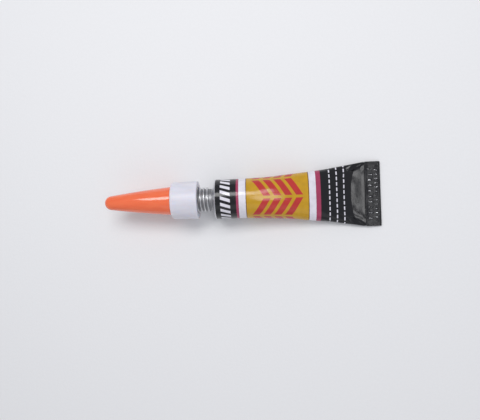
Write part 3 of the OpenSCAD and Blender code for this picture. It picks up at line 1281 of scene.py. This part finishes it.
@dataclass
class Seal:
    """The foil that closes the neck, scored across so that the spike opens it in two halves."""

    axes: TubeAxes
    mouth_u: float = -9.0
    radius: float = 3.0
    thickness: float = 0.1
    dome: float = 0.05
    score: float = 0.05
    score_w: float = 0.18
    slit: float = 0.01
    open_keep: float = 0.42
    rows: int = 65
    steps: int = 25

    def _half(self, side: int) -> Net:
        """One half of the foil.

        Args:
            side: -1 or 1, the side of the axis that it lies on.

        Returns:
            Its net, thin along the score and slightly domed.
        """
        run = np.linspace(0, 1, self.steps)
        row_x = -np.cos(np.linspace(0, math.pi, self.rows)) * self.radius
        x, share = np.meshgrid(row_x, np.concatenate([run, run[::-1]]), indexing="ij")
        inner = np.arange(share.shape[1]) >= len(run)
        reach = np.sqrt(np.maximum(self.radius ** 2 - x ** 2, self.slit ** 2))
        y = self.slit + share * (reach - self.slit)
        groove = self.score * bell(y, self.score_w)
        bulge = self.dome * (1 - (x ** 2 + y ** 2) / self.radius ** 2)
        u = self.mouth_u + bulge + np.where(inner, self.thickness, groove)
        return Net(np.stack([x, side * y, u], -1))

    def build(self, foil: bpy.types.Material) -> None:
        """Builds both halves, each with its own mesh."""
        for name, side in (("seal_half_near", -1), ("seal_half_far", 1)):
            piece = self._half(side).build(name, self.axes)
            dress(piece, Body.TUBE, Slot.METAL, foil, "seal_membrane")
            rim = self.axes.place(np.array((0.0, side * self.radius, self.mouth_u)))
            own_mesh(piece)


@dataclass
class Nozzle:
    """The nozzle: a collar with an inside thread, the cap's boss and a tapered spout."""

    axes: TubeAxes
    open_u: float = -6.1
    web_u: float = -14.4
    top_u: float = -15.6
    spout_u: float = -36.4
    collar_r: float = 6.75
    collar_top_r: float = 6.45
    collar_round: float = 0.8
    cavity_r: float = 4.52
    core_r: float = 3.92
    boss_r: float = 3.7
    boss_len: float = 3.2
    spout_base_r: float = 3.0
    spout_tip_r: float = 1.25
    passage_r: float = 0.5
    seat_r: float = 2.55
    seat_u: float = -14.95
    lead_in: float = 0.4
    thread_clear: float = 0.85
    thread_crest: float = 0.16
    thread_base: float = 0.8
    step: float = 0.13
    sides: int = 144
    thread_end_in: float = 0.2
    side_depth: float = 0.4
    top_clear: float = 0.7
    seam_h: float = 0.03
    seam_w: float = 0.0022
    line_depth: float = 0.02
    line_u: float = 1.2
    line_half_w: float = 0.12

    def _thread(self) -> Thread:
        """The collar's ridge, half a pitch from the neck's."""
        pitch = Thread().pitch
        start = Thread().start_u + pitch / 2
        start -= math.floor((start - self.web_u - self.thread_clear) / pitch) * pitch
        turns = (self.open_u - self.thread_clear - start) / pitch
        return Thread(depth=self.cavity_r - self.core_r, crest=self.thread_crest, base=self.thread_base,
                      start_u=start, turns=turns)

    def _outline(self) -> np.ndarray:
        """Outline of the shell, from the collar's mouth over the spout and back through the passage."""
        boss_end = self.top_u - self.boss_len
        return Outline([
            (self.cavity_r + self.lead_in, self.open_u, 0.08), (self.collar_r, self.open_u, 0.28),
            (self.collar_top_r, self.top_u, self.collar_round), (self.boss_r, self.top_u, 0.12),
            (self.boss_r, boss_end, 0.22), (self.spout_base_r, boss_end, 0.1),
            (self.spout_tip_r, self.spout_u, 0.22), (self.passage_r, self.spout_u, 0.12),
            (self.passage_r, self.seat_u, 0.0), (self.seat_r, self.seat_u, 0.0),
            (self.seat_r, self.web_u, 0.06), (self.cavity_r, self.web_u, 0.25),
            (self.cavity_r, self.open_u - self.lead_in, 0.1)]).points(self.step)

    def build(self, plastic: bpy.types.Material) -> None:
        """Builds the nozzle as one turned shell with its inside thread, mould seam and parting line."""
        radius, angle, u = turned(self._outline(), self.sides)
        inside = (np.abs(radius - self.cavity_r) < ON_FACE) & (u < self.open_u - self.thread_end_in)
        radius = radius - self._thread().height(angle, u) * inside
        on_collar = (radius > self.collar_top_r - self.side_depth) & (u > self.top_u + self.top_clear)
        seam = self.seam_h * bell(np.abs(np.sin(angle)) - 1, self.seam_w)
        line = self.line_depth * (np.abs(u - self.open_u + self.line_u) < self.line_half_w)
        net = Net(round_points(radius + (seam - line) * on_collar, angle, u), ring_rows=True)
        dress(net.build("nozzle_body", self.axes), Body.NOZZLE, Slot.NOZZLE, plastic, "nozzle")


@dataclass
class PiercingSpike:
    """The hollow spike with its seating flange."""

    axes: TubeAxes
    web_u: float = -14.4
    length: float = 4.6
    flange_r: float = 2.5
    flange_t: float = 0.5
    root_r: float = 1.6
    edge_r: float = 0.62
    passage_r: float = 0.5
    step: float = 0.15
    sides: int = 96

    def build(self, plastic: bpy.types.Material) -> None:
        """Builds the spike as a turned shell with a filleted root."""
        base = self.web_u - self.flange_t
        outline = Outline([
            (self.passage_r, base, 0.05), (self.flange_r, base, 0.1), (self.flange_r, self.web_u, 0.1),
            (self.root_r, self.web_u, 0.3), (self.edge_r, self.web_u + self.length, 0.03),
            (self.passage_r, self.web_u + self.length, 0.02)]).points(self.step)
        net = Net(round_points(*turned(outline, self.sides)), ring_rows=True)
        dress(net.build("piercing_tube", self.axes), Body.SPIKE, Slot.NOZZLE, plastic, "piercing_spike")


@dataclass
class Cap:
    """The tapered push-on cap with its rounded tip."""

    axes: TubeAxes
    base_u: float = -15.65
    length: float = 24.35
    rim_r: float = 5.08
    rim_round: float = 0.3
    tip_r: float = 2.55
    lean_deg: float = 8.2
    skirt_r: float = 3.73
    skirt_len: float = 3.55
    bore_len: float = 21.15
    bore_base_r: float = 3.35
    bore_tip_r: float = 1.6
    pin_hole_r: float = 0.38
    pin_hole_len: float = 1.85
    step: float = 0.35
    sides: int = 160
    side_steps: int = 33
    tip_steps: int = 16
    gate_h: float = 0.12
    gate_r: float = 0.5
    gate_power: int = 4
    side_depth: float = 0.4
    line_depth: float = 0.02
    line_u: float = 0.85
    line_half_w: float = 0.16

    @property
    def tip_u(self) -> float:
        """The tip's end."""
        return self.base_u - self.length

    def _side(self) -> List[Triple]:
        """Corners of the curved side and the round tip, from the rim on."""
        lean = math.radians(self.lean_deg)
        tip_c = self.tip_u + self.tip_r
        rim = np.array((self.rim_r, self.base_u))
        join = np.array((self.tip_r * math.cos(lean), tip_c - self.tip_r * math.sin(lean)))
        pull = join + self.length / 2 * np.array((math.sin(lean), math.cos(lean)))
        curve = [(1 - t) ** 2 * rim + 2 * t * (1 - t) * pull + t * t * join
                 for t in np.linspace(0, 1, self.side_steps)]
        ball = [(self.tip_r * math.cos(a), tip_c - self.tip_r * math.sin(a))
                for a in np.linspace(lean, math.pi / 2, self.tip_steps)[1:]]
        return [(*curve[0], self.rim_round)] + [(*p, 0.0) for p in curve[1:] + ball]

    def build(self, plastic: bpy.types.Material) -> None:
        """Builds the cap as a turned shell with a moulding mark on its tip and a fine line by its rim."""
        bore_u = self.base_u - self.bore_len
        neck_u = self.base_u - self.skirt_len
        hole_u = bore_u - self.pin_hole_len
        inside = [(0.0, hole_u, 0.0), (self.pin_hole_r, hole_u, 0.05), (self.pin_hole_r, bore_u, 0.05),
                  (self.bore_tip_r, bore_u, 0.15), (self.bore_base_r, neck_u, 0.05),
                  (self.skirt_r, neck_u, 0.05), (self.skirt_r, self.base_u, self.rim_round)]
        outline = Outline(inside + self._side(), closed=False).points(self.step)
        radius, angle, u = turned(outline, self.sides)
        at_tip = u < self.tip_u + self.gate_r
        gate = self.gate_h * np.exp(-(radius / self.gate_r) ** self.gate_power) * at_tip
        outside = radius > self.skirt_r + self.side_depth
        line = self.line_depth * (np.abs(u - self.base_u + self.line_u) < self.line_half_w) * outside
        net = Net(round_points(radius - line, angle, u + gate))
        dress(net.build("cap_shell", self.axes), Body.CAP, Slot.CAP, plastic, "cap")


@dataclass
class CapPin:
    """The pin in the cap's tip, with its sealing disc."""

    axes: TubeAxes
    bore_u: float = -36.8
    seat: float = 1.8
    reach: float = 3.85
    pin_r: float = 0.35
    disc_r: float = 0.9
    disc_t: float = 0.3
    disc_gap: float = 0.025
    step: float = 0.15
    sides: int = 64

    def build(self, plastic: bpy.types.Material) -> None:
        """Builds the pin as a turned piece with a rounded point."""
        disc_u = self.bore_u + self.disc_gap
        outline = Outline([
            (0.0, self.bore_u - self.seat, 0.0), (self.pin_r, self.bore_u - self.seat, 0.08),
            (self.pin_r, disc_u, 0.02), (self.disc_r, disc_u, 0.06), (self.disc_r, disc_u + self.disc_t, 0.06),
            (self.pin_r, disc_u + self.disc_t, 0.05), (self.pin_r, self.bore_u + self.reach, 0.3),
            (0.0, self.bore_u + self.reach, 0.0)], closed=False).points(self.step)
        net = Net(round_points(*turned(outline, self.sides)))
        dress(net.build("cap_pin_body", self.axes), Body.PIN, Slot.PIN, plastic, "cap_pin")


@dataclass
class Contents:
    """The solids that keep their own shape: sealing film and liquid."""

    film: DriedLatex = DriedLatex()
    liquid: ThinLiquid = ThinLiquid()

    def dress(self) -> None:
        """Gives each solid its finish."""
        for node, finish in (("end_sealant", self.film), ("adhesive", self.liquid)):
            solid = frame["nodes"][node]
            solid.data.materials.clear()
            solid.data.materials.append(finish.material())
            log.info("%s: keeps its solid", node)


# Studio


@dataclass
class Lamp:
    """A soft rectangular lamp, with its place and size in metres."""

    name: str
    place: Triple
    size: Span
    watts: float

    def build(self, aim: Vector) -> None:
        """Adds the lamp, turned to its aim."""
        data = bpy.data.lights.new(self.name, "AREA")
        data.shape, data.size, data.size_y, data.energy = "RECTANGLE", *self.size, self.watts
        lamp = bpy.data.objects.new(self.name, data)
        lamp.location = self.place
        lamp.rotation_mode = "QUATERNION"
        lamp.rotation_quaternion = (aim - lamp.location).to_track_quat("-Z", "Y")
        bpy.context.scene.collection.objects.link(lamp)


@dataclass
class Studio:
    """Pale floor, soft lamps and the camera, in the row frame's millimetres unless said."""

    eye: Triple = (29.18, -4.06, 174.46)
    aim: Triple = (-1.60, -4.09, 0.0)
    roll_deg: float = 2.07
    lens: float = 36.0
    sensor: float = 36.0
    near_m: float = 0.01
    floor_half_m: float = 4.0
    lamp_aim_m: Triple = (0.0, 0.0, 0.005)
    sky: Colour = (0.92, 0.94, 1.0)
    sky_strength: float = 0.5

    def build(self) -> None:
        """Builds floor, lamps, sky and camera."""
        self._floor()
        for lamp in (Lamp("key_softbox", place=(-0.03, 0.17, 0.37), size=(0.30, 0.14), watts=0.85),
                     Lamp("top_strip", place=(0.135, 0.012, 0.43), size=(0.20, 0.09), watts=0.24),
                     Lamp("side_fill", place=(0.06, -0.52, 0.45), size=(0.6, 0.35), watts=0.25)):
            lamp.build(Vector(self.lamp_aim_m))
        world = bpy.data.worlds.new("studio_sky")
        world.use_nodes = True
        backdrop = world.node_tree.nodes["Background"]
        backdrop.inputs["Color"].default_value = (*self.sky, 1)
        backdrop.inputs["Strength"].default_value = self.sky_strength
        bpy.context.scene.world = world
        bpy.context.scene.view_settings.view_transform = "Standard"
        self._camera()

    def _floor(self) -> None:
        """Lays the floor just under the tube."""
        half = self.floor_half_m
        corners = [(-half, -half, 0), (half, -half, 0), (half, half, 0), (-half, half, 0)]
        mesh = bpy.data.meshes.new("studio_floor")
        mesh.from_pydata(corners, [], [(0, 1, 2, 3)])
        floor = bpy.data.objects.new("studio_floor", mesh)
        mesh.materials.append(StudioPaper().material())
        bpy.context.scene.collection.objects.link(floor)

    def _camera(self) -> None:
        """Puts the camera where the photograph was taken from."""
        data = bpy.data.cameras.new("photo_camera")
        data.lens, data.sensor_width, data.clip_start = self.lens, self.sensor, self.near_m
        camera = bpy.data.objects.new("photo_camera", data)
        back = (Vector(self.eye) - Vector(self.aim)).normalized()
        roll = math.radians(self.roll_deg)
        right = Vector((math.sin(roll), math.cos(roll), 0)).cross(back).normalized()
        up = back.cross(right)
        turn = Matrix((right, up, back)).transposed().to_4x4()
        camera.matrix_world = Matrix.Translation(Vector(self.eye) * MM) @ turn
        bpy.context.scene.collection.objects.link(camera)
        bpy.context.scene.camera = camera


def main() -> None:
    """Builds every piece in order."""
    logging.basicConfig(level=logging.INFO, format="%(name)s %(message)s")
    axes = TubeAxes.from_joint("nozzle_turn")
    lacquer = PrintedLacquer().material()
    bare = TurnedMetal().material()
    natural = MouldedPlastic("natural_polyethylene", colour=(0.70, 0.69, 0.755), deep=(0.65, 0.64, 0.71),
                             rough=0.36, bleed=0.6, bleed_mm=2.0, relief_mm=0.008).material()
    orange = MouldedPlastic("orange_polypropylene", colour=(0.87, 0.168, 0.058), deep=(0.83, 0.14, 0.045),
                            rough=0.07, bleed=0.18, coat=0.6, relief_mm=0.0018).material()
    plain = MouldedPlastic("pin_plastic", colour=(0.82, 0.82, 0.82), deep=(0.74, 0.74, 0.75),
                           rough=0.4, bleed=0.2).material()
    wall = SoftWall(axes)
    wall.build(lacquer)
    TailFold(wall).build(lacquer)
    ThreadedNeck(axes).build(bare)
    Seal(axes).build(PressedFoil().material())
    Nozzle(axes).build(natural)
    PiercingSpike(axes).build(natural)
    Cap(axes).build(orange)
    CapPin(axes).build(plain)
    Contents().dress()
    Studio().build()


if __name__ == "__main__":
    main()
